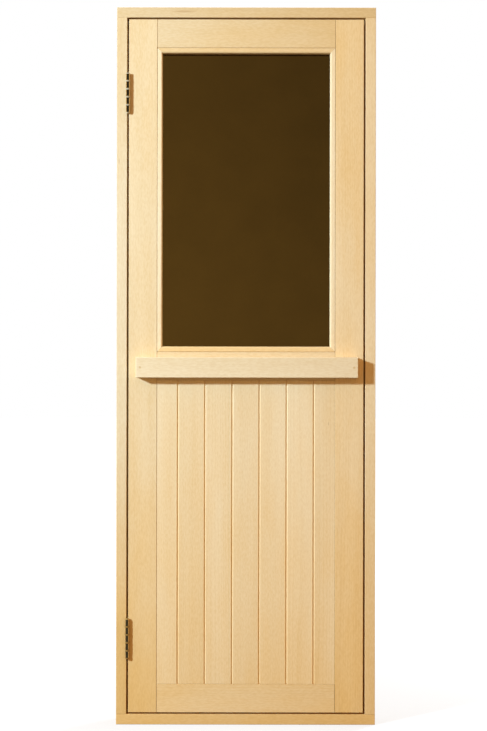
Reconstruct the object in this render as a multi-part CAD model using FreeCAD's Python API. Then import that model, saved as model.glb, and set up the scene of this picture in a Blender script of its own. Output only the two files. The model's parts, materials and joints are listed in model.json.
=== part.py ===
import FreeCAD, Part

import os

# Sauna door: a rebated timber frame with a half-glazed, half-boarded leaf hung on two brass
# butt hinges, and a plain wooden bar across the leaf as its handle on each side.
#
# Millimetres. +X runs from the hinge side to the latch side, +Y from the front (outside) to
# the back (sauna side), +Z up. The origin is the middle of the sill's underside.

Vector = FreeCAD.Vector

# Frame
frame_width = 686.0
frame_height = 1900.0
frame_depth = 70.0
frame_face = 27.0        # width of the frame members seen from the front
frame_ease = 0.8         # small chamfer on the frame's long edges
stop_width = 15.0        # how far the rebate's stop stands in from the frame's face width
gap = 5.0                # clearance round the leaf, and from its back to the stop

# Leaf
leaf_thickness = 40.0
member_width = 75.0      # stiles and rails
latch_bevel = 1.8        # the latch edge is narrower at the back, so that it clears the jamb
leaf_ease = 0.7          # small chamfer on the leaf's stiles and rails
joint_line = 0.5         # width of the fine dark line that shows where two timbers meet
joint_line_depth = 2.0   # how far that line goes in before the timbers touch

# Boarded panel
board_count = 7
outer_board_cut = 16.0   # the outer two boards are this much narrower than the others
board_thickness = 13.0
board_recess = 1.0       # the boards lie this far behind the stiles' face
board_bevel = 3.0        # each side of the V between two boards
tongue_length = 5.0
tongue_thickness = 4.0
tongue_play = 0.3
core_tenon = 10.0        # how deep the core panel sits in the grooves round it
core_play = 0.2

# Window
glass_thickness = 8.0
glass_play = 3.0         # between the glass edge and the timber round it
bead_width = 14.0
bead_round = 5.0         # on the bead's front edge towards the glass
bead_ease = 0.5          # small chamfer on its front edge towards the timber
mitre_play = 0.15        # half the fine line at a mitred corner

# Handle bars
bar_inset = 19.0         # from the leaf's side edge to the end of the bar
inner_bar_inset = 21.0   # from the stop to the end of the bar on the inside
bar_height = 54.0
bar_depth = 35.0
bar_round = 2.0
bar_drop = 4.0           # the bar's middle lies this far below the middle rail's middle
bar_shift = 2.5          # the outside bar lies this much nearer the latch edge

# Hinges
hinge_height = 102.0
hinge_inset = 229.0      # from the frame's top and bottom to the middle of each hinge
knuckle_count = 5
knuckle_radius = 5.5
knuckle_chamfer = 0.7
bearing_height = 3.5     # the ring between two knuckles
bearing_radius = 6.0
axial_play = 0.1
pin_radius = 3.0
pin_play = 0.05
pin_head_radius = 4.9
pin_head_height = 2.2
pin_head_round = 1.3
plate_thickness = 2.0
plate_depth = 26.0       # how far a plate reaches along the edge of the timber
barrel_stand_off = 0.5   # between the barrel and the timber behind it
notch_play = 0.5         # round the other plate's knuckles

# Worked out from the sizes above
front = -frame_depth / 2
back = frame_depth / 2
leaf_back = front + leaf_thickness
leaf_middle = front + leaf_thickness / 2
stop_front = leaf_back + gap
left = -frame_width / 2
right = frame_width / 2
leaf_left = left + frame_face + gap
leaf_right = right - frame_face - gap
leaf_bottom = frame_face + gap
leaf_top = frame_height - frame_face - gap
field_left = leaf_left + member_width
field_right = leaf_right - member_width
field_width = field_right - field_left
middle_rail_middle = (leaf_bottom + leaf_top) / 2
middle_rail_bottom = middle_rail_middle - member_width / 2
middle_rail_top = middle_rail_middle + member_width / 2
panel_bottom = leaf_bottom + member_width
window_top = leaf_top - member_width
board_cover = (field_width + 2 * outer_board_cut) / board_count
board_front = front + board_recess
board_back = board_front + board_thickness
core_thickness = leaf_thickness - 2 * (board_recess + board_thickness)
bead_depth = (leaf_thickness - glass_thickness) / 2
hinge_x = left + frame_face + gap / 2
hinge_y = front - knuckle_radius - barrel_stand_off
knuckle_length = (hinge_height - (knuckle_count - 1) * bearing_height) / knuckle_count
knuckle_pitch = knuckle_length + bearing_height
hinge_middles = {"upper": frame_height - hinge_inset, "lower": hinge_inset}


def box(x0, x1, y0, y1, z0, z1):
    """A box between two corners."""
    return Part.makeBox(x1 - x0, y1 - y0, z1 - z0, Vector(x0, y0, z0))


def cylinder(radius, x, y, z0, z1):
    """An upright cylinder."""
    return Part.makeCylinder(radius, z1 - z0, Vector(x, y, z0))


def prism(points, along):
    """The closed outline through the points, pushed along a vector."""
    corners = [Vector(*point) for point in points]
    outline = Part.makePolygon(corners + corners[:1])
    return Part.Face(outline).extrude(along)


def ease(shape, axis, value, size):
    """Chamfers the edges that lie in the plane where the axis (0, 1 or 2) has the value."""
    edges = [
        edge for edge in shape.Edges
        if all(abs(vertex.Point[axis] - value) < 1e-6 for vertex in edge.Vertexes)
    ]
    return shape.makeChamfer(size, edges)


def ease_faces(shape, y0, y1, size):
    """Chamfers the edges of the front and the back face."""
    return ease(ease(shape, 1, y0, size), 1, y1, size)


def mirror_thickness(shape):
    """The same piece on the leaf's other side."""
    return shape.mirror(Vector(0, leaf_middle, 0), Vector(0, 1, 0))


def cut_joint_line(shape, face, axis, end, inward):
    """Cuts the fine line where a timber's end, across X (0) or Z (2), meets its neighbour.

    The line runs along the timber's front or back face, whose place is given, and inward is the
    way from the end into the timber.
    """
    bounds = shape.BoundBox
    spans = [
        (bounds.XMin, bounds.XMax),
        (face, face + joint_line_depth) if face < bounds.Center.y else (face - joint_line_depth, face),
        (bounds.ZMin, bounds.ZMax),
    ]
    spans[axis] = tuple(sorted((end, end + inward * joint_line)))
    return shape.cut(box(*spans[0], *spans[1], *spans[2]))


# Frame

def rebated_outline(outer, inward):
    """Corners, across and through the wall, of a frame member whose outer face is at outer."""
    face = outer + inward * frame_face
    stop = face + inward * stop_width
    return [
        (outer, front), (face, front), (face, stop_front),
        (stop, stop_front), (stop, back), (outer, back),
    ]


def jamb(outer, inward):
    """An upright of the frame, standing on the sill and notched round the two stops."""
    top = frame_height - frame_face
    outline = [(x, y, frame_face) for x, y in rebated_outline(outer, inward)]
    shape = prism(outline, Vector(0, 0, top - frame_face))
    x0, x1 = sorted((outer, outer + inward * (frame_face + stop_width)))
    for z0, z1 in ((frame_face, frame_face + stop_width), (top - stop_width, top)):
        shape = shape.cut(box(x0, x1, stop_front, back, z0, z1))
    shape = ease_faces(shape, front, back, frame_ease)
    return cut_joint_line(shape, front, 2, frame_face, 1)


def cross_member(outer, inward):
    """The head or the sill, running the frame's full width."""
    outline = [(left, y, z) for z, y in rebated_outline(outer, inward)]
    shape = prism(outline, Vector(frame_width, 0, 0))
    return ease_faces(shape, front, back, frame_ease)


# Leaf timber

def plate_box(side, middle):
    """A hinge plate's space: side is -1 for the jamb's plate and 1 for the leaf's."""
    x0, x1 = sorted((hinge_x + side * gap / 2, hinge_x + side * (gap / 2 + plate_thickness)))
    return box(x0, x1, hinge_y, front + plate_depth, middle - hinge_height / 2, middle + hinge_height / 2)


def cut_plates(shape, side):
    """The housings that let the hinge plates in flush with the timber's edge."""
    for middle in hinge_middles.values():
        shape = shape.cut(plate_box(side, middle))
    return shape


def core_groove():
    """The space that the core panel needs in the stiles and rails round it."""
    half = core_thickness / 2 + core_play
    reach = core_tenon + core_play
    return box(
        field_left - reach, field_right + reach,
        leaf_middle - half, leaf_middle + half,
        panel_bottom - reach, middle_rail_bottom + reach,
    )


def hinge_stile():
    shape = box(leaf_left, field_left, front, leaf_back, leaf_bottom, leaf_top)
    shape = ease_faces(shape, front, leaf_back, leaf_ease)
    return cut_plates(shape.cut(core_groove()), 1)


def latch_stile():
    outline = [
        (field_right, front, leaf_bottom),
        (leaf_right, front, leaf_bottom),
        (leaf_right - latch_bevel, leaf_back, leaf_bottom),
        (field_right, leaf_back, leaf_bottom),
    ]
    shape = prism(outline, Vector(0, 0, leaf_top - leaf_bottom))
    return ease_faces(shape, front, leaf_back, leaf_ease).cut(core_groove())


def rail(z0):
    shape = box(field_left, field_right, front, leaf_back, z0, z0 + member_width)
    shape = ease_faces(shape, front, leaf_back, leaf_ease)
    for face in (front, leaf_back):
        shape = cut_joint_line(shape, face, 0, field_left, 1)
        shape = cut_joint_line(shape, face, 0, field_right, -1)
    return shape.cut(core_groove())


# Boarded panel

def core_panel():
    half = core_thickness / 2
    return box(
        field_left - core_tenon, field_right + core_tenon,
        leaf_middle - half, leaf_middle + half,
        panel_bottom - core_tenon, middle_rail_bottom + core_tenon,
    )


def board_edges():
    """Where each board starts and ends, from the hinge stile to the latch stile."""
    first_joint = field_left + board_cover - outer_board_cut
    joints = [first_joint + index * board_cover for index in range(board_count - 1)]
    edges = [field_left] + joints + [field_right]
    return list(zip(edges[:-1], edges[1:]))


def board(x0, x1, has_groove, has_tongue):
    """A tongued and grooved board, with a bevel at each edge that meets another board."""
    left_bevel = board_bevel if has_groove else 0
    right_bevel = board_bevel if has_tongue else 0
    middle = (board_front + board_bevel + board_back) / 2
    half = tongue_thickness / 2
    outline = [(x0 + left_bevel, board_front), (x1 - right_bevel, board_front)]
    if has_tongue:
        outline += [
            (x1, board_front + right_bevel),
            (x1, middle - half), (x1 + tongue_length, middle - half),
            (x1 + tongue_length, middle + half), (x1, middle + half),
        ]
    outline += [(x1, board_back), (x0, board_back)]
    if has_groove:
        half += tongue_play
        depth = tongue_length + tongue_play
        outline += [
            (x0, middle + half), (x0 + depth, middle + half),
            (x0 + depth, middle - half), (x0, middle - half),
            (x0, board_front + left_bevel),
        ]
    points = [(x, y, panel_bottom) for x, y in outline]
    shape = prism(points, Vector(0, 0, middle_rail_bottom - panel_bottom))
    if not has_groove:
        shape = cut_joint_line(shape, board_front, 0, x0, 1)
    if not has_tongue:
        shape = cut_joint_line(shape, board_front, 0, x1, -1)
    shape = cut_joint_line(shape, board_front, 2, panel_bottom, 1)
    return cut_joint_line(shape, board_front, 2, middle_rail_bottom, -1)


# Window

def glass_pane():
    return box(
        field_left + glass_play, field_right - glass_play,
        leaf_middle - glass_thickness / 2, leaf_middle + glass_thickness / 2,
        middle_rail_top + glass_play, window_top - glass_play,
    )


def bead_outline():
    """Corners of a bead's section: distance in from the timber, and place through the leaf."""
    glass_face = front + bead_depth
    return [
        (0, glass_face), (0, front + joint_line_depth), (joint_line, front + joint_line_depth),
        (joint_line, front + bead_ease), (joint_line + bead_ease, front),
        (bead_width, front), (bead_width, glass_face),
    ]


def round_bead(shape, axis, inner):
    """Rounds the bead's front edge that lies towards the glass."""
    edges = [
        edge for edge in shape.Edges
        if all(
            abs(vertex.Point[axis] - inner) < 1e-6 and abs(vertex.Point.y - front) < 1e-6
            for vertex in edge.Vertexes
        )
    ]
    return shape.makeFillet(bead_round, edges)


def mitred(shape, corners):
    """The part of a bead inside the mitred shape whose corners are given across the leaf."""
    points = [(x, front, z) for x, z in corners]
    return shape.common(prism(points, Vector(0, bead_depth, 0)))


def side_bead(edge, inward):
    """A bead beside the glass, against the stile whose edge is given."""
    inner = edge + inward * bead_width
    outline = [(edge + inward * across, y, middle_rail_top) for across, y in bead_outline()]
    shape = round_bead(prism(outline, Vector(0, 0, window_top - middle_rail_top)), 0, inner)
    return mitred(shape, [
        (edge, middle_rail_top + mitre_play), (inner, middle_rail_top + bead_width + mitre_play),
        (inner, window_top - bead_width - mitre_play), (edge, window_top - mitre_play),
    ])


def level_bead(edge, inward):
    """A bead above or below the glass, against the rail whose edge is given."""
    inner = edge + inward * bead_width
    outline = [(field_left, y, edge + inward * across) for across, y in bead_outline()]
    shape = round_bead(prism(outline, Vector(field_width, 0, 0)), 2, inner)
    return mitred(shape, [
        (field_left + mitre_play, edge), (field_right - mitre_play, edge),
        (field_right - bead_width - mitre_play, inner), (field_left + bead_width + mitre_play, inner),
    ])


# Handle bars

def bar(x0, x1, y0, y1, mounted):
    """A handle bar with all its edges rounded but those against the leaf, at y = mounted."""
    middle = middle_rail_middle - bar_drop
    shape = box(x0, x1, y0, y1, middle - bar_height / 2, middle + bar_height / 2)
    edges = [
        edge for edge in shape.Edges
        if any(abs(vertex.Point.y - mounted) > 1e-6 for vertex in edge.Vertexes)
    ]
    return shape.makeFillet(bar_round, edges)


# Hinges

def knuckle_span(middle, index):
    """The lowest and highest point of a knuckle, counted from the bottom."""
    z0 = middle - hinge_height / 2 + index * knuckle_pitch
    return z0, z0 + knuckle_length


def knuckle(middle, index):
    z0, z1 = knuckle_span(middle, index)
    shape = cylinder(knuckle_radius, hinge_x, hinge_y, z0, z1)
    return ease(ease(shape, 2, z0, knuckle_chamfer), 2, z1, knuckle_chamfer)


def hinge_plate(side, middle):
    """A plate with its knuckles: the jamb's has the first, third and last."""
    own = [index for index in range(knuckle_count) if (index % 2 == 0) == (side < 0)]
    shape = plate_box(side, middle)
    clear = bearing_radius + notch_play
    ends = [middle - hinge_height / 2]
    for index in own:
        ends += knuckle_span(middle, index)
    ends.append(middle + hinge_height / 2)
    for z0, z1 in zip(ends[0::2], ends[1::2]):
        if z1 > z0:
            shape = shape.cut(cylinder(clear, hinge_x, hinge_y, z0, z1))
    for index in own:
        shape = shape.fuse(knuckle(middle, index))
    bore = cylinder(
        pin_radius + pin_play, hinge_x, hinge_y,
        middle - hinge_height, middle + hinge_height,
    )
    return shape.cut(bore).removeSplitter()


def hinge_pin(middle):
    """The pin with a button head at each end."""
    z0, z1 = middle - hinge_height / 2, middle + hinge_height / 2
    shape = cylinder(pin_radius, hinge_x, hinge_y, z0, z1)
    for seat, end in ((z0, z0 - pin_head_height), (z1, z1 + pin_head_height)):
        head = cylinder(pin_head_radius, hinge_x, hinge_y, min(seat, end), max(seat, end))
        rim = [edge for edge in head.Edges if all(abs(v.Point.z - end) < 1e-6 for v in edge.Vertexes)]
        shape = shape.fuse(head.makeFillet(pin_head_round, rim))
    return shape


def bearing_rings(middle):
    """The rings between the knuckles, each a solid of its own."""
    rings = []
    for index in range(knuckle_count - 1):
        z0 = knuckle_span(middle, index)[1] + axial_play
        z1 = z0 + bearing_height - 2 * axial_play
        ring = cylinder(bearing_radius, hinge_x, hinge_y, z0, z1)
        rings.append(ring.cut(cylinder(pin_radius + pin_play, hinge_x, hinge_y, z0, z1)))
    return Part.makeCompound(rings)


def nodes():
    """Every piece by its name."""
    stop_inset = frame_face + stop_width + inner_bar_inset
    made = {
        "hinge_jamb": cut_plates(jamb(left, 1), -1),
        "latch_jamb": jamb(right, -1),
        "head": cross_member(frame_height, -1),
        "sill": cross_member(0, 1),
        "hinge_stile": hinge_stile(),
        "latch_stile": latch_stile(),
        "top_rail": rail(window_top),
        "middle_rail": rail(middle_rail_bottom),
        "bottom_rail": rail(leaf_bottom),
        "core_panel": core_panel(),
        "glass_pane": glass_pane(),
        "handle_bar": bar(
            leaf_left + bar_inset + bar_shift, leaf_right - bar_inset + bar_shift,
            front - bar_depth, front, front,
        ),
        "inner_handle_bar": bar(
            left + stop_inset, right - stop_inset, leaf_back, leaf_back + bar_depth, leaf_back,
        ),
    }
    edges = board_edges()
    for index, (x0, x1) in enumerate(edges):
        plank = board(x0, x1, index > 0, index < len(edges) - 1)
        made[f"front_board_{index + 1}"] = plank
        made[f"back_board_{index + 1}"] = mirror_thickness(plank)
    beads = {
        "left": side_bead(field_left, 1),
        "right": side_bead(field_right, -1),
        "top": level_bead(window_top, -1),
        "bottom": level_bead(middle_rail_top, 1),
    }
    for place, bead in beads.items():
        made[f"front_bead_{place}"] = bead
        made[f"back_bead_{place}"] = mirror_thickness(bead)
    for place, middle in hinge_middles.items():
        made[f"{place}_hinge_jamb_plate"] = hinge_plate(-1, middle)
        made[f"{place}_hinge_leaf_plate"] = hinge_plate(1, middle)
        made[f"{place}_hinge_pin"] = hinge_pin(middle)
        made[f"{place}_hinge_bearings"] = bearing_rings(middle)
    return made


os.makedirs("parts", exist_ok=True)
for name, shape in nodes().items():
    if not shape.isValid():
        raise ValueError(f"{name} is not a valid shape")
    shape.exportStep(f"parts/{name}.step")
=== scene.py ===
import json
import math
import random

import bmesh
import bpy
from mathutils import Matrix, Vector


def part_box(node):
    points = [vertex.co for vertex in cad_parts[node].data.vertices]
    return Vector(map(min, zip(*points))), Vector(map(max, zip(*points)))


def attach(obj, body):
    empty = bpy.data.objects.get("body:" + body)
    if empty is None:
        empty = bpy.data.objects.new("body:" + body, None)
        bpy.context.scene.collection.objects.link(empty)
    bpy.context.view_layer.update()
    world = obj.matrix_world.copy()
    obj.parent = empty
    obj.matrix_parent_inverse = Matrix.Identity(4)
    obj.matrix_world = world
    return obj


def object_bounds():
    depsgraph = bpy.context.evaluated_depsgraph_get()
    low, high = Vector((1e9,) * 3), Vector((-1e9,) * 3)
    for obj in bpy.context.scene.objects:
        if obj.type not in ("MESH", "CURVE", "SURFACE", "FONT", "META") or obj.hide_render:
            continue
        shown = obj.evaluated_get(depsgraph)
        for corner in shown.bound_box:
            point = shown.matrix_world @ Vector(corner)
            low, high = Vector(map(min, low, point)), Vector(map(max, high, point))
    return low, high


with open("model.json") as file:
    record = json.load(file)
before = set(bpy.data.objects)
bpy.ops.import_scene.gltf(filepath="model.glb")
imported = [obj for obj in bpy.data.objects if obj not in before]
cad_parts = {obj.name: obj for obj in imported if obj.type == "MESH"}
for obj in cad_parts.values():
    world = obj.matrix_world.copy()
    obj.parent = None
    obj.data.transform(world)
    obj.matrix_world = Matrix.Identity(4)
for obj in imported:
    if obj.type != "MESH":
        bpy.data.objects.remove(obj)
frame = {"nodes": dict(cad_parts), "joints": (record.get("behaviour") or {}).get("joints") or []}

# The looks of a timber sauna door. Metres, in the frame's own axes: +X to the latch side,
# +Y to the sauna side, +Z up.

cad_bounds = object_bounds()
nodes = frame["nodes"]
draw = random.Random(7)

# Colours, as linear light
PALE_TIMBER = (0.87, 0.72, 0.48)
WARM_TIMBER = (0.83, 0.55, 0.22)
BRASS = (0.80, 0.56, 0.24)
RING_METAL = (0.66, 0.58, 0.40)
# A darker copy of the ring metal: painted shade for the lower hinge's rings
SHADED_RING_METAL = (0.46, 0.29, 0.09)
BRONZE_GLASS = (0.070, 0.035, 0.0056)
FLOOR_COLOUR = (0.22, 0.22, 0.22)
FLOOR_BOUNCE = (0.23, 0.165, 0.10)
FLOOR_GLOW = (0.72, 0.72, 0.72)


def add_node(tree, kind, inputs=None, **settings):
    """A new shader node, with its inputs joined to sockets or set to values."""
    made = tree.nodes.new(kind)
    for name, value in settings.items():
        setattr(made, name, value)
    for key, value in (inputs or {}).items():
        if isinstance(value, bpy.types.NodeSocket):
            tree.links.new(value, made.inputs[key])
        else:
            made.inputs[key].default_value = value
    return made


def calculate(tree, operation, first, second=0.0, third=0.0):
    """The output of a maths node."""
    inputs = {0: first, 1: second, 2: third}
    return add_node(tree, "ShaderNodeMath", inputs, operation=operation).outputs[0]


def calculate_vector(tree, operation, first, second=(0.0, 0.0, 0.0)):
    """The vector output of a vector maths node."""
    return add_node(tree, "ShaderNodeVectorMath", {0: first, 1: second}, operation=operation).outputs[0]


def noise(tree, vector, scale, detail=2.0):
    """A noise texture's value, about 0.5 on average."""
    inputs = {"Vector": vector, "Scale": scale, "Detail": detail}
    return add_node(tree, "ShaderNodeTexNoise", inputs).outputs["Fac"]


def vector_length(tree, vector):
    return add_node(tree, "ShaderNodeVectorMath", {0: vector}, operation="LENGTH").outputs["Value"]


def own_place(tree):
    """The place on the piece in its own axes, and the same as separate outputs X, Y and Z."""
    place = add_node(tree, "ShaderNodeTexCoord").outputs["Object"]
    return place, add_node(tree, "ShaderNodeSeparateXYZ", {0: place}).outputs


def map_range(tree, value, low, high, to_low, to_high):
    """The value moved smoothly from one range to another, and held at its ends."""
    inputs = {"Value": value, "From Min": low, "From Max": high, "To Min": to_low, "To Max": to_high}
    return add_node(tree, "ShaderNodeMapRange", inputs, interpolation_type="SMOOTHSTEP").outputs["Result"]


def mix_colour(tree, factor, first, second, blend="MIX"):
    """The output of a colour mix, which is the first colour where the factor is 0."""
    made = add_node(tree, "ShaderNodeMix", data_type="RGBA", blend_type=blend)
    for key, value in ((0, factor), (6, first), (7, second)):
        if isinstance(value, bpy.types.NodeSocket):
            tree.links.new(value, made.inputs[key])
        elif key == 0:
            made.inputs[key].default_value = value
        else:
            made.inputs[key].default_value = (*value, 1.0)
    return made.outputs[2]


def new_material(name):
    """A material with only a Principled shader in it, and that shader."""
    made = bpy.data.materials.new(name)
    made.use_nodes = True
    tree = made.node_tree
    tree.nodes.clear()
    shader = add_node(tree, "ShaderNodeBsdfPrincipled")
    output = add_node(tree, "ShaderNodeOutputMaterial")
    tree.links.new(shader.outputs[0], output.inputs["Surface"])
    return made, tree, shader


def dress(obj, material):
    """Gives the piece this material and no other."""
    obj.data.materials.clear()
    obj.data.materials.append(material)


# Timber

GRAIN_STRETCH = 0.045     # how slowly the rings and fibres change along the grain
CLOUD_STRETCH = 0.25      # the same for the clouds of warmth and the mottle
CLOUD_SCALE = 16.0
CLOUD_WARMTH = 0.12
RINGS_PER_METRE = 260.0
LATE_WOOD = (0.45, 0.92)  # where in each ring the darker wood comes in, and is deepest
WANDER_SCALE = 14.0       # the rings aren't true circles
WANDER_REACH = 0.016
BAND_SCALE = 22.0
FIBRE_SCALE = 900.0
FLECK_SCALE = 420.0
MOTTLE_SCALE = 380.0
LATE_WEIGHT, BAND_WEIGHT, FIBRE_WEIGHT, FLECK_WEIGHT, MOTTLE_WEIGHT = 0.26, 0.40, 0.35, 0.12, 0.24
DEEP_GRAIN = (0.90, 0.84, 0.72)
TIMBER_ROUGHNESS = (0.62, 0.76)
GRAIN_RELIEF = 0.00025
MARK_COLOUR = (0.45, 0.26, 0.11)
MARK_WANDER = 40
# Painted shade: the timber is darkened and browned where ambient occlusion finds a narrow gap or a tight
# joint close by, standing in for the shade that falls there.
GAP_SHADE = {"reach": 0.004, "covered": 0.12, "open": 0.55, "colour": (0.50, 0.24, 0.07)}
JOINT_SHADE = {"reach": 0.0012, "covered": 0.60, "open": 0.98, "colour": (0.30, 0.16, 0.08)}
DOOR_SPANS = {"X": (cad_bounds[0][0], cad_bounds[1][0]), "Z": (cad_bounds[0][2], cad_bounds[1][2])}


def tint(colour, *factors):
    """The colour times one factor, or times a factor for each of red, green and blue."""
    factors = factors * 3 if len(factors) == 1 else factors
    return tuple(channel * factor for channel, factor in zip(colour, factors))


def add_crevice_shade(tree, surface, crevice_shade, amount):
    """The surface with painted shade: darkened and browned where little space is open within the reach."""
    corner = add_node(tree, "ShaderNodeAmbientOcclusion", {"Distance": crevice_shade["reach"]}, samples=6)
    cover = map_range(tree, corner.outputs["AO"], crevice_shade["covered"], crevice_shade["open"], amount, 0.0)
    return mix_colour(tree, cover, surface, mix_colour(tree, 1.0, surface, crevice_shade["colour"], "MULTIPLY"))


def add_mark(tree, surface, place, wander, mark):
    """The surface with a small knot or streak on it, whose outline wanders with the rings."""
    centre, half_width, half_height = mark
    squeeze = (1 / half_width, 1 / max(half_width, half_height), 1 / half_height)
    across = calculate_vector(tree, "SUBTRACT", place, centre)
    across = calculate_vector(tree, "MULTIPLY", across, squeeze)
    stray = calculate_vector(tree, "MULTIPLY", wander, (MARK_WANDER, MARK_WANDER, 0))
    reach = vector_length(tree, calculate_vector(tree, "ADD", across, stray))
    return mix_colour(tree, map_range(tree, reach, 0.1, 1.0, 0.5, 0.0), surface, MARK_COLOUR)


def in_log(tree, place, along):
    """The place measured from the pith of a log of its own, with the log's length along Z."""
    pith = (draw.uniform(0.10, 0.22) * draw.choice((-1, 1)), draw.uniform(0.05, 0.16), draw.uniform(-9, 9))
    scale = (GRAIN_STRETCH, 1.0, 1.0) if along == "X" else (1.0, 1.0, GRAIN_STRETCH)
    turn = (0.0, math.radians(90), 0.0) if along == "X" else (0.0, 0.0, 0.0)
    inputs = {"Vector": place, "Location": pith, "Rotation": turn, "Scale": scale}
    return add_node(tree, "ShaderNodeMapping", inputs).outputs["Vector"]


def timber(name, along, warmth, shade=1.0, marks=(), joint_shade=0.0):
    """Planed pale timber cut from a log, with its grain along X or Z.

    The warmth is 0 where the timber is pale and 1 where it is yellowest, given for its foot or
    left end, its middle and its other end. Each mark is a small knot or streak: its middle, and
    its half sizes along X and Z. The joint shade, 0 to 1, is painted shade in tight joints.
    """
    made, tree, shader = new_material(name)
    place, axes = own_place(tree)
    low, high = DOOR_SPANS[along]
    middle = (low + high) / 2
    start, halfway, end = warmth
    stretch = (CLOUD_STRETCH, 1.0, 1.0) if along == "X" else (1.0, 1.0, CLOUD_STRETCH)
    stretched = calculate_vector(tree, "MULTIPLY", place, stretch)
    cloud = noise(tree, stretched, CLOUD_SCALE)
    warm = map_range(tree, axes[along], low, middle, start, halfway)
    warm = calculate(tree, "ADD", warm, map_range(tree, axes[along], middle, high, 0.0, end - halfway))
    warm = calculate(tree, "ADD", warm, map_range(tree, cloud, 0.25, 0.75, -CLOUD_WARMTH, CLOUD_WARMTH))
    colour = mix_colour(tree, warm, tint(PALE_TIMBER, shade), tint(WARM_TIMBER, shade))

    log = in_log(tree, place, along)
    inputs = {"Vector": log, "Scale": WANDER_SCALE, "Detail": 2.0}
    wander = add_node(tree, "ShaderNodeTexNoise", inputs).outputs["Color"]
    wander = calculate_vector(tree, "SUBTRACT", wander, (0.5, 0.5, 0.5))
    wander = calculate_vector(tree, "MULTIPLY", wander, (WANDER_REACH, WANDER_REACH, 0.0))
    bent = calculate_vector(tree, "ADD", log, wander)
    radius = vector_length(tree, calculate_vector(tree, "MULTIPLY", bent, (1.0, 1.0, 0.0)))
    growth = calculate(tree, "FRACT", calculate(tree, "MULTIPLY", radius, RINGS_PER_METRE))
    late = map_range(tree, growth, *LATE_WOOD, 0.0, 1.0)
    late = calculate(tree, "MULTIPLY", late, map_range(tree, growth, LATE_WOOD[1], 1.0, 1.0, 0.0))

    band = map_range(tree, noise(tree, bent, BAND_SCALE, 3.0), 0.3, 0.7, 0.0, 1.0)
    fibre = noise(tree, calculate_vector(tree, "MULTIPLY", log, (1.0, 1.0, 0.6)), FIBRE_SCALE, 3.0)
    fleck = map_range(tree, noise(tree, log, FLECK_SCALE, 1.0), 0.60, 0.74, 0.0, 1.0)
    mottle = map_range(tree, noise(tree, stretched, MOTTLE_SCALE, 1.0), 0.32, 0.68, -1.0, 1.0)
    depth = 0.0
    for layer, weight in (
        (late, LATE_WEIGHT), (band, BAND_WEIGHT), (fibre, FIBRE_WEIGHT), (fleck, FLECK_WEIGHT),
        (mottle, MOTTLE_WEIGHT),
    ):
        depth = calculate(tree, "MULTIPLY_ADD", layer, weight, depth)
    grain = mix_colour(tree, depth, (1.0, 1.0, 1.0), DEEP_GRAIN)
    surface = mix_colour(tree, 1.0, colour, grain, "MULTIPLY")
    for mark in marks:
        surface = add_mark(tree, surface, place, wander, mark)
    # Painted shade in gaps, and also in tight joints where the piece asks for it
    surface = add_crevice_shade(tree, surface, GAP_SHADE, 1.0)
    if joint_shade:
        surface = add_crevice_shade(tree, surface, JOINT_SHADE, joint_shade)

    tree.links.new(surface, shader.inputs["Base Color"])
    tree.links.new(map_range(tree, fibre, 0.3, 0.7, *TIMBER_ROUGHNESS), shader.inputs["Roughness"])
    shader.inputs["Specular IOR Level"].default_value = 0.35
    height = calculate(tree, "MULTIPLY_ADD", late, 0.5, fibre)
    inputs = {"Height": height, "Strength": 0.35, "Distance": GRAIN_RELIEF}
    bump = add_node(tree, "ShaderNodeBump", inputs)
    tree.links.new(bump.outputs["Normal"], shader.inputs["Normal"])
    return made


# Small knots and streaks: the middle, and the half sizes along X and Z
HEAD_STREAK = ((-0.166, -0.035, 1.889), 0.040, 0.0040)
JAMB_MARK = ((-0.337, -0.035, 1.492), 0.002, 0.011)
BOARD_MARK = ((0.219, -0.034, 0.797), 0.0016, 0.0075)

BAR_WARMTH = (-0.20, -0.15, -0.20)

# Each piece's shade is partly painted light: the latch-side pieces are set lighter and the hinge-side ones
# darker, evening out the key lamp's fall-off across the door, and the middle rail is set darker against the
# light bounced up off the bar.
timbers = {
    "head": timber("head_timber", "X", (0.40, 0.60, 0.76), 0.87, [HEAD_STREAK]),
    "sill": timber("sill_timber", "X", (1.08, 0.82, 0.92), 1.00),
    "hinge_jamb": timber("hinge_jamb_timber", "Z", (1.10, -0.10, 0.30), 0.92, [JAMB_MARK]),
    "latch_jamb": timber("latch_jamb_timber", "Z", (0.78, 0.26, 0.48), 0.99),
    "hinge_stile": timber("hinge_stile_timber", "Z", (0.94, 0.22, 0.36), 0.97),
    "latch_stile": timber("latch_stile_timber", "Z", (0.96, 0.36, 0.66), 1.02, (), 1.0),
    "top_rail": timber("top_rail_timber", "X", (0.34, 0.47, 0.88), 0.92),
    "middle_rail": timber("middle_rail_timber", "X", (0.24, 0.20, 0.30), 0.90),
    "bottom_rail": timber("bottom_rail_timber", "X", (0.72, 0.62, 0.68), 1.01, (), 1.0),
    "core_panel": timber("core_panel_timber", "Z", (0.5, 0.5, 0.5)),
    "handle_bar": timber("handle_bar_timber", "X", BAR_WARMTH, 0.98),
    "inner_handle_bar": timber("inner_handle_bar_timber", "X", BAR_WARMTH, 0.98),
}
for name in sorted(nodes):
    if "_board_" in name:
        warmth = draw.uniform(-0.06, 0.06)
        marks = [BOARD_MARK] if name == "front_board_7" else []
        spread = (warmth + 0.56, warmth + 0.17, warmth + 0.22)
        timbers[name] = timber(name + "_timber", "Z", spread, draw.uniform(1.00, 1.05), marks)
    elif "_bead_" in name:
        upright = name.endswith(("left", "right"))
        # Painted light and shade: the upright beads are set paler and lighter and the level ones warmer and
        # darker, standing in for how the lamps fall on them.
        warmth, shade, crevice_shade = (0.10, 1.06, 1.0) if upright else (0.62, 0.97, 0.0)
        timbers[name] = timber(name + "_timber", "Z" if upright else "X", (warmth,) * 3, shade, (), crevice_shade)
for name, material in timbers.items():
    dress(nodes[name], material)


# Brass

TARNISH_SCALE = 160.0
TARNISH_TINT = (0.62, 0.52, 0.42)
WEAR_SCALE = 1400.0


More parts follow.
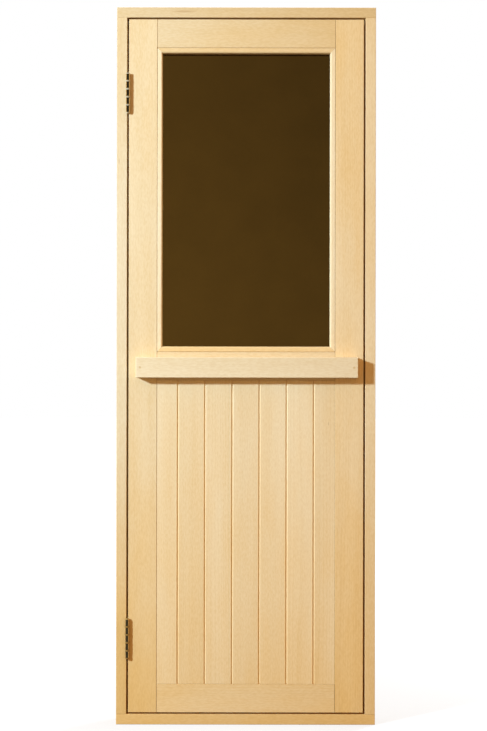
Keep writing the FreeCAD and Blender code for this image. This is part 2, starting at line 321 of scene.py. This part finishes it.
def metal(name, colour, roughness, tarnish, metallic=1.0):
    """Polished metal, with darker clouds of tarnish and fine wear in its gloss."""
    made, tree, shader = new_material(name)
    place = own_place(tree)[0]
    cloud = map_range(tree, noise(tree, place, TARNISH_SCALE, 4.0), 0.42, 0.68, 0.0, tarnish)
    dark = tint(colour, *TARNISH_TINT)
    tree.links.new(mix_colour(tree, cloud, colour, dark), shader.inputs["Base Color"])
    wear = noise(tree, calculate_vector(tree, "MULTIPLY", place, (1.0, 1.0, 0.12)), WEAR_SCALE, 2.0)
    gloss = map_range(tree, wear, 0.3, 0.7, roughness * 0.8, roughness * 1.3)
    tree.links.new(gloss, shader.inputs["Roughness"])
    shader.inputs["Metallic"].default_value = metallic
    return made


brass = metal("hinge_brass", BRASS, 0.08, 0.4)
# The lower hinge's rings wear the darker copy: painted shade for the lamp's light and reflection, which
# reach them less low on the door.
ring_metals = {
    "upper": metal("upper_ring_metal", RING_METAL, 0.55, 0.3, 0.3),
    "lower": metal("shaded_lower_ring_metal", SHADED_RING_METAL, 0.55, 0.3, 0.3),
}
for name, obj in nodes.items():
    if name.endswith(("_jamb_plate", "_leaf_plate")):
        dress(obj, brass)
    elif name.endswith(("_hinge_bearings", "_hinge_pin")):
        dress(obj, ring_metals[name.split("_")[0]])


# Glass

THIN_TINT = 1.22          # the tint's colour is a little uneven over the pane
DEEP_TINT = 0.78
TINT_CLOUD_SCALE = 9.0


def bronze_glass():
    """Tinted glass, a little deeper in colour towards its top and its latch side."""
    made, tree, shader = new_material("bronze_glass")
    place, axes = own_place(tree)
    low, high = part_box("glass_pane")
    cloud = noise(tree, place, TINT_CLOUD_SCALE, 3.0)
    depth = map_range(tree, axes["X"], low[0], high[0], 0.0, 0.5)
    depth = calculate(tree, "ADD", depth, map_range(tree, axes["Z"], low[2], high[2], 0.0, 0.5))
    depth = calculate(tree, "ADD", depth, map_range(tree, cloud, 0.3, 0.7, -0.1, 0.1))
    colour = mix_colour(tree, depth, tint(BRONZE_GLASS, THIN_TINT), tint(BRONZE_GLASS, DEEP_TINT))
    tree.links.new(colour, shader.inputs["Base Color"])
    shader.inputs["Transmission Weight"].default_value = 1.0
    shader.inputs["Roughness"].default_value = 0.02
    shader.inputs["IOR"].default_value = 1.5
    shader.inputs["Specular IOR Level"].default_value = 0.25
    return made


dress(nodes["glass_pane"], bronze_glass())


# Screws in the hinge plates

SCREW_RADIUS = 0.0036
SCREW_RISE = 0.0005
SLOT_HALF = 0.00055
SCREW_SEGMENTS = 14
SCREW_PLACES = ((-0.040, 0.008), (-0.0135, 0.016), (0.0135, 0.008), (0.040, 0.016))


def half_head(bm, place, side):
    """Half of a slotted screw head: the part of the disc on one side of the slot."""
    start = math.asin(SLOT_HALF / SCREW_RADIUS)
    rings = []
    for width, rise in ((1.0, 0.0), (1.0, 0.5), (0.84, 1.0)):
        radius = SCREW_RADIUS * width
        ring = []
        for step in range(SCREW_SEGMENTS + 1):
            angle = start + (math.pi - 2 * start) * step / SCREW_SEGMENTS
            out = max(radius * math.sin(angle), SLOT_HALF)
            point = Vector((radius * math.cos(angle), out * side, SCREW_RISE * rise))
            ring.append(bm.verts.new(place @ point))
        rings.append(ring)
    for low, high in zip(rings[:-1], rings[1:]):
        for step in range(SCREW_SEGMENTS):
            bm.faces.new((low[step], low[step + 1], high[step + 1], high[step]))
        bm.faces.new((low[-1], low[0], high[0], high[-1]))
    bm.faces.new(rings[-1])
    bm.faces.new(rings[0])


def slot_floor(bm, place):
    """The bottom of the slot, a thin strip just above the plate."""
    corners = [
        bm.verts.new(place @ Vector((x * SCREW_RADIUS * 0.95, y * SLOT_HALF, z)))
        for z in (0.0, SCREW_RISE * 0.15)
        for x, y in ((-1, -1), (1, -1), (1, 1), (-1, 1))
    ]
    for low, high in ((0, 1), (1, 2), (2, 3), (3, 0)):
        bm.faces.new((corners[low], corners[high], corners[high + 4], corners[low + 4]))
    bm.faces.new(corners[:4])
    bm.faces.new(corners[4:])


def new_piece(name, bm, material, body):
    """A mesh piece of the door from what bm holds, riding on a body."""
    bmesh.ops.recalc_face_normals(bm, faces=bm.faces)
    mesh = bpy.data.meshes.new(name)
    bm.to_mesh(mesh)
    bm.free()
    made = bpy.data.objects.new(name, mesh)
    bpy.context.scene.collection.objects.link(made)
    dress(made, material)
    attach(made, body)


def plate_screws(name, body, face_x, facing, low, high):
    """Four slotted screws in a hinge plate, staggered as in a butt hinge.

    Each place is the height from the plate's middle and the inset from its inner edge.
    """
    bm = bmesh.new()
    middle = (low.z + high.z) / 2
    for offset, inset in SCREW_PLACES:
        centre = Vector((face_x, high.y - inset, middle + offset))
        place = Matrix.Translation(centre) @ Matrix.Rotation(math.radians(90) * facing, 4, "Y")
        place = place @ Matrix.Rotation(draw.uniform(0, math.pi), 4, "Z")
        half_head(bm, place, 1)
        half_head(bm, place, -1)
        slot_floor(bm, place)
    new_piece(name, bm, brass, body)


axis_x = frame["joints"][0]["pos_m"][0]
leaf_face_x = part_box("hinge_stile")[0][0]
for hinge in ("upper", "lower"):
    for part, body, face_x, facing in (
        ("leaf", "leaf", leaf_face_x, -1),
        ("jamb", "frame", 2 * axis_x - leaf_face_x, 1),
    ):
        low, high = (Vector(corner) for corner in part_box(f"{hinge}_hinge_{part}_plate"))
        plate_screws(f"{hinge}_hinge_{part}_screws", body, face_x, facing, low, high)


# Plugs over the fixings of the handle bars

PLUG_RADIUS = 0.0032
PLUG_RISE = 0.0002
PLUG_INSET = 0.011
PLUG_SEGMENTS = 24
plug_timber = timber("plug_timber", "X", (0.5, 0.5, 0.5), 0.85)


def bar_plugs(name, bar, facing):
    """A small flush plug near each end of a bar, on the face turned away from the leaf."""
    low, high = (Vector(corner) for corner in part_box(bar))
    face_y = low.y if facing < 0 else high.y
    angles = [math.tau * step / PLUG_SEGMENTS for step in range(PLUG_SEGMENTS)]
    circle = [(math.cos(angle), math.sin(angle)) for angle in angles]
    bm = bmesh.new()
    for plug_x in (low.x + PLUG_INSET, high.x - PLUG_INSET):
        place = Matrix.Translation((plug_x, face_y, (low.z + high.z) / 2))
        place = place @ Matrix.Rotation(math.radians(-90) * facing, 4, "X")
        rings = []
        for width, rise in ((1.0, 0.0), (1.0, 0.6), (0.9, 1.0)):
            radius = PLUG_RADIUS * width
            rings.append([
                bm.verts.new(place @ Vector((radius * x, radius * y, PLUG_RISE * rise)))
                for x, y in circle
            ])
        for under, over in zip(rings[:-1], rings[1:]):
            for step in range(PLUG_SEGMENTS):
                bm.faces.new((under[step - 1], under[step], over[step], over[step - 1]))
        bm.faces.new(rings[-1])
        bm.faces.new(rings[0])
    new_piece(name, bm, plug_timber, "leaf")


bar_plugs("handle_bar_plugs", "handle_bar", -1)
bar_plugs("inner_handle_bar_plugs", "inner_handle_bar", 1)


# Floor

FLOOR_SIZE = 40.0
FLOOR_DROP = 0.0005       # the floor is this far under the sill
ROOM_DIM = 0.03           # the room in front of the door, as metal and glass show it
ROOM_EDGE = (-0.45, 0.1)  # from the room to the white behind the door, along Y
SHADED_RADIUS = 0.5       # the glow is weak out to here, for the shadows, and full at the next
LIT_RADIUS = 2.0


def background_rays(tree, across):
    """How white the background looks to a ray, where across is the way through the wall.

    It is fully white seen straight or through glass. A reflection shows it white on the sauna
    side and dim towards the front, where the room is dark.
    """
    path = add_node(tree, "ShaderNodeLightPath")
    seen = calculate(tree, "MAXIMUM", path.outputs["Is Camera Ray"], path.outputs["Is Transmission Ray"])
    room = map_range(tree, across, *ROOM_EDGE, ROOM_DIM, 1.0)
    return calculate(tree, "MAXIMUM", seen, calculate(tree, "MULTIPLY", path.outputs["Is Glossy Ray"], room))


def floor_material():
    """Pale, with a glow that only the eye sees: white where it is lit, and it keeps shadows.

    The glow is weaker near the door, where the shadows are. What light the floor sends back to
    the door is warm, as from the planks of a sauna.
    """
    made = bpy.data.materials.new("pale_floor")
    made.use_nodes = True
    tree = made.node_tree
    tree.nodes.clear()
    place, axes = own_place(tree)
    path = add_node(tree, "ShaderNodeLightPath")
    paint = mix_colour(tree, path.outputs["Is Glossy Ray"], FLOOR_COLOUR, tint(FLOOR_COLOUR, 0.1))
    paint = mix_colour(tree, path.outputs["Is Diffuse Ray"], paint, FLOOR_BOUNCE)
    diffuse = add_node(tree, "ShaderNodeBsdfDiffuse", {"Color": paint})
    far = map_range(tree, vector_length(tree, place), SHADED_RADIUS, LIT_RADIUS, 0.0, 1.0)
    shine = mix_colour(tree, far, FLOOR_GLOW, (1.0, 1.0, 1.0))
    strength = background_rays(tree, axes["Y"])
    glow = add_node(tree, "ShaderNodeEmission", {"Color": shine, "Strength": strength})
    both = add_node(tree, "ShaderNodeAddShader", {0: diffuse.outputs[0], 1: glow.outputs[0]})
    add_node(tree, "ShaderNodeOutputMaterial", {"Surface": both.outputs[0]})
    return made


bpy.ops.mesh.primitive_plane_add(size=FLOOR_SIZE, location=(0.0, 0.0, -FLOOR_DROP))
floor = bpy.context.object
floor.name = "floor"
dress(floor, floor_material())


# Light

DOOR_MIDDLE = (0.0, 0.0, 0.95)
LAMP_COLOUR = (0.60, 0.815, 1.0)
LAMPS = {
    # place, size, power, and whether metal shows it
    "key_lamp": ((-2.95, -2.47, 2.17), 0.34, 240.0, False),
    "back_lamp": ((2.2, 1.9, 1.9), 1.0, 108.0, True),
    "top_lamp": ((0.0, 0.0, 4.6), 1.0, 75.0, True),
}
FILL = (0.72, 0.40, 0.14)


def area_lamp(name, place, size, power, in_reflections):
    """A round lamp turned to the door's middle, which the camera doesn't see."""
    lamp = bpy.data.lights.new(name, "AREA")
    lamp.shape = "DISK"
    lamp.size = size
    lamp.energy = power
    lamp.color = LAMP_COLOUR
    made = bpy.data.objects.new(name, lamp)
    made.location = place
    made.rotation_euler = (Vector(DOOR_MIDDLE) - Vector(place)).to_track_quat("-Z", "Y").to_euler()
    made.visible_camera = False
    made.visible_transmission = False
    made.visible_glossy = in_reflections
    bpy.context.scene.collection.objects.link(made)


for name, settings in LAMPS.items():
    area_lamp(name, *settings)


def light_world():
    """Warm light from all round, and a white background."""
    world = bpy.data.worlds.new("studio")
    world.use_nodes = True
    bpy.context.scene.world = world
    tree = world.node_tree
    tree.nodes.clear()
    direction = add_node(tree, "ShaderNodeTexCoord").outputs["Generated"]
    across = add_node(tree, "ShaderNodeSeparateXYZ", {0: direction}).outputs["Y"]
    strength = background_rays(tree, across)
    lighting = add_node(tree, "ShaderNodeLightPath").outputs["Is Diffuse Ray"]
    fill = add_node(tree, "ShaderNodeBackground", {"Color": (*FILL, 1.0), "Strength": 1.0})
    white = add_node(tree, "ShaderNodeBackground", {"Color": (1.0, 1.0, 1.0, 1.0), "Strength": strength})
    both = add_node(tree, "ShaderNodeMixShader", {0: lighting, 1: white.outputs[0], 2: fill.outputs[0]})
    add_node(tree, "ShaderNodeOutputWorld", {"Surface": both.outputs[0]})


light_world()


# Camera, placed so that the door falls where the photograph has it

PHOTO_SIZE = (487, 731)
DOOR_MIDDLE_PIXEL = (246.0, 366.0)
PIXELS_PER_METRE = 377.5  # on the door's front face
CAMERA_DISTANCE = 3.5
CAMERA_ROLL = math.radians(-0.10)

camera = bpy.data.objects.new("camera", bpy.data.cameras.new("camera"))
bpy.context.scene.collection.objects.link(camera)
bpy.context.scene.camera = camera
camera.data.lens = camera.data.sensor_width * CAMERA_DISTANCE * PIXELS_PER_METRE / PHOTO_SIZE[1]
front_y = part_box("hinge_stile")[0][1]
camera.location = (
    (PHOTO_SIZE[0] / 2 - DOOR_MIDDLE_PIXEL[0]) / PIXELS_PER_METRE,
    front_y - CAMERA_DISTANCE,
    DOOR_MIDDLE[2] + (DOOR_MIDDLE_PIXEL[1] - PHOTO_SIZE[1] / 2) / PIXELS_PER_METRE,
)
camera.rotation_euler = (math.radians(90), CAMERA_ROLL, 0.0)

bpy.context.scene.view_settings.view_transform = "Standard"
